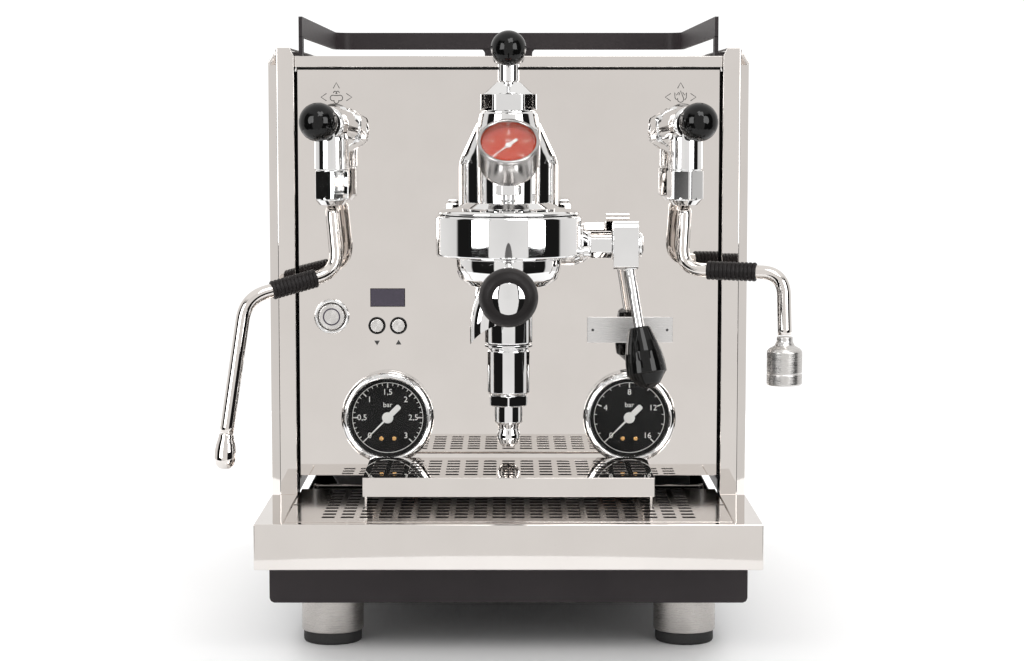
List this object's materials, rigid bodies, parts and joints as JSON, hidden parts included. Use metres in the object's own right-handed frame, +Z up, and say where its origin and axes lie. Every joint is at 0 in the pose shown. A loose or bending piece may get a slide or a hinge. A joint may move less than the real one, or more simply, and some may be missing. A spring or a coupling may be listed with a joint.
{
  "type": "espresso machine",
  "caption": "Lever-group espresso machine with steam and hot water wands, dial gauges, locking filter holder, drip tray and a railed cup-warming top.",
  "frame": {"origin": "under the middle of the whole machine, handle included, on the surface it stands on", "axes": "+X to the right as seen from the front, +Y towards the back, +Z up"},
  "size_m": [0.4, 0.6404, 0.43],
  "materials": {
    "polished_steel": "mirror-polished stainless sheet, warm light grey",
    "brushed_steel": "finely brushed stainless steel",
    "foot_steel": "brushed stainless drum with a rubber pad pressed in below",
    "chrome": "bright chrome plate on brass castings and turned parts",
    "black_metal": "satin black powder coat on steel",
    "black_gloss": "glossy black moulded knobs",
    "black_matte": "matt black moulded grips and handle",
    "gauge_white": "white painted gauge needles",
    "dial_black": "matt black dial faces with white scales",
    "dial_red": "red-orange dial face with a white scale",
    "glass": "clear gauge lenses",
    "rubber": "black rubber pads and seals",
    "copper": "plain copper pressure vessels",
    "tank_plastic": "smoky clear moulded water tank",
    "pump_metal": "cast aluminium motor and pump housing",
    "box_plastic": "grey moulded electronics housing",
    "display_glass": "dark smoked display window",
    "seal": "off-white low-friction seat rings",
    "marking": "thin dark printed symbols and dial numbers"
  },
  "bodies": {
    "machine": {"base_pan": "black_metal", "front_panel": "polished_steel", "side_panel_left": "polished_steel", "side_panel_right": "polished_steel", "rear_panel": "polished_steel", "top_cover": "polished_steel", "cup_rail": "black_metal", "group_body": "chrome", "group_bell": "chrome", "group_top_nut": "chrome", "shower_screen": "brushed_steel", "lower_chamber": "chrome", "brew_gauge_case": "brushed_steel", "boiler_gauge_case": "chrome", "pump_gauge_case": "chrome", "steam_boiler": "copper", "brew_boiler": "copper", "pump_unit": "pump_metal", "control_box": "box_plastic", "power_inlet": "black_matte", "display_window": "display_glass", "steam_valve": "chrome", "water_valve": "chrome"},
    "foot_front_left": {"foot_front_left": "foot_steel"},
    "foot_front_right": {"foot_front_right": "foot_steel"},
    "foot_back_left": {"foot_back_left": "foot_steel"},
    "foot_back_right": {"foot_back_right": "foot_steel"},
    "brew_lever": {"brew_lever": "chrome", "brew_lever_knob": "black_gloss"},
    "portafilter": {"portafilter": "chrome", "filter_basket": "brushed_steel", "portafilter_spout": "chrome", "portafilter_handle": "black_matte"},
    "flow_control": {"flow_control_lever": "chrome", "flow_control_knob": "black_gloss"},
    "steam_rocker": {"steam_rocker": "seal"},
    "steam_joystick": {"steam_joystick": "chrome", "steam_knob": "black_gloss"},
    "water_rocker": {"water_rocker": "seal"},
    "water_joystick": {"water_joystick": "chrome", "water_knob": "black_gloss"},
    "steam_swivel": {"steam_wand_seat": "seal"},
    "steam_wand": {"steam_wand": "chrome", "steam_wand_grip": "black_matte", "steam_tip": "chrome"},
    "water_swivel": {"water_wand_seat": "seal"},
    "water_wand": {"water_wand": "chrome", "water_wand_grip": "black_matte", "water_nozzle": "brushed_steel"},
    "power_button": {"power_button": "brushed_steel"},
    "button_down": {"button_down": "brushed_steel"},
    "button_up": {"button_up": "brushed_steel"},
    "drip_tray": {"drip_tray": "polished_steel"},
    "drip_grate": {"drip_grate": "polished_steel"},
    "cup_stand": {"cup_stand": "polished_steel"},
    "water_tank": {"water_tank": "tank_plastic"},
    "tank_lid": {"tank_lid": "polished_steel"},
    "boiler_gauge_needle": {"boiler_gauge_needle": "gauge_white"},
    "pump_gauge_needle": {"pump_gauge_needle": "gauge_white"},
    "brew_gauge_needle": {"brew_gauge_needle": "gauge_white"}
  },
  "joints": [
    {"name": "foot_front_left_height", "type": "slide", "parent": "machine", "child": "foot_front_left", "axis": [0, 0, -1], "range_m": [0, 0.008]},
    {"name": "foot_front_right_height", "type": "slide", "parent": "machine", "child": "foot_front_right", "axis": [0, 0, -1], "range_m": [0, 0.008]},
    {"name": "foot_back_left_height", "type": "slide", "parent": "machine", "child": "foot_back_left", "axis": [0, 0, -1], "range_m": [0, 0.008]},
    {"name": "foot_back_right_height", "type": "slide", "parent": "machine", "child": "foot_back_right", "axis": [0, 0, -1], "range_m": [0, 0.008]},
    {"name": "brew_lever_turn", "type": "hinge", "parent": "machine", "child": "brew_lever", "pos_m": [0.0798, -0.07778, 0.273], "axis": [-1, 0, 0], "range_deg": [0, 80]},
    {"name": "portafilter_lock", "type": "hinge", "parent": "machine", "child": "portafilter", "pos_m": [0, -0.12978, 0.26], "axis": [0, 0, 1], "range_deg": [-45, 0]},
    {"name": "flow_control_turn", "type": "hinge", "parent": "machine", "child": "flow_control", "pos_m": [0, -0.07778, 0.4], "axis": [0, 0, 1], "range_deg": [-135, 135]},
    {"name": "steam_knob_side", "type": "hinge", "parent": "machine", "child": "steam_rocker", "pos_m": [-0.12232, -0.06044, 0.35391], "axis": [0, 0, 1], "range_deg": [-12, 12], "stiffness_Nm_per_rad": 0.2},
    {"name": "steam_knob_up", "type": "hinge", "parent": "steam_rocker", "child": "steam_joystick", "pos_m": [-0.12232, -0.06044, 0.35391], "axis": [-0.9743, 0.2251, 0], "range_deg": [0, 15]},
    {"name": "water_knob_side", "type": "hinge", "parent": "machine", "child": "water_rocker", "pos_m": [0.12232, -0.06044, 0.35391], "axis": [0, 0, 1], "range_deg": [-12, 12], "stiffness_Nm_per_rad": 0.2},
    {"name": "water_knob_up", "type": "hinge", "parent": "water_rocker", "child": "water_joystick", "pos_m": [0.12232, -0.06044, 0.35391], "axis": [-0.9743, -0.2251, 0], "range_deg": [0, 15]},
    {"name": "steam_wand_swivel", "type": "hinge", "parent": "machine", "child": "steam_swivel", "pos_m": [-0.1215, -0.06278, 0.306], "axis": [0, 0, 1], "range_deg": [-20, 55]},
    {"name": "steam_wand_tilt", "type": "hinge", "parent": "steam_swivel", "child": "steam_wand", "pos_m": [-0.1215, -0.06278, 0.306], "axis": [0, 1, 0], "range_deg": [-6, 12]},
    {"name": "water_wand_swivel", "type": "hinge", "parent": "machine", "child": "water_swivel", "pos_m": [0.1215, -0.06278, 0.306], "axis": [0, 0, 1], "range_deg": [-55, 20]},
    {"name": "water_wand_tilt", "type": "hinge", "parent": "water_swivel", "child": "water_wand", "pos_m": [0.1215, -0.06278, 0.306], "axis": [0, 1, 0], "range_deg": [-12, 6]},
    {"name": "power_button_press", "type": "slide", "parent": "machine", "child": "power_button", "axis": [0, 1, 0], "range_m": [0, 0.002], "stiffness_N_per_m": 400},
    {"name": "button_down_press", "type": "slide", "parent": "machine", "child": "button_down", "axis": [0, 1, 0], "range_m": [0, 0.0012], "stiffness_N_per_m": 300},
    {"name": "button_up_press", "type": "slide", "parent": "machine", "child": "button_up", "axis": [0, 1, 0], "range_m": [0, 0.0012], "stiffness_N_per_m": 300},
    {"name": "drip_tray_slide", "type": "slide", "parent": "machine", "child": "drip_tray", "axis": [0, -1, 0], "range_m": [0, 0.12]},
    {"name": "drip_grate_lift", "type": "slide", "parent": "drip_tray", "child": "drip_grate", "axis": [0, 0, 1], "range_m": [0, 0.01]},
    {"name": "cup_stand_slide", "type": "slide", "parent": "drip_grate", "child": "cup_stand", "axis": [0, -1, 0], "range_m": [0, 0.09]},
    {"name": "water_tank_lift", "type": "slide", "parent": "machine", "child": "water_tank", "axis": [0, 0, 1], "range_m": [0, 0.2]},
    {"name": "tank_lid_lift", "type": "slide", "parent": "water_tank", "child": "tank_lid", "axis": [0, 0, 1], "range_m": [0, 0.05]},
    {"name": "boiler_gauge_swing", "type": "hinge", "parent": "machine", "child": "boiler_gauge_needle", "pos_m": [-0.086, -0.02378, 0.1466], "axis": [0, 1, 0], "range_deg": [0, 270], "stiffness_Nm_per_rad": 0.0005},
    {"name": "pump_gauge_swing", "type": "hinge", "parent": "machine", "child": "pump_gauge_needle", "pos_m": [0.086, -0.02378, 0.1466], "axis": [0, 1, 0], "range_deg": [0, 270], "stiffness_Nm_per_rad": 0.0005},
    {"name": "brew_gauge_swing", "type": "hinge", "parent": "machine", "child": "brew_gauge_needle", "pos_m": [0, -0.14549, 0.34263], "axis": [0, 0.6947, -0.7193], "range_deg": [0, 270], "stiffness_Nm_per_rad": 0.0005}
  ]
}
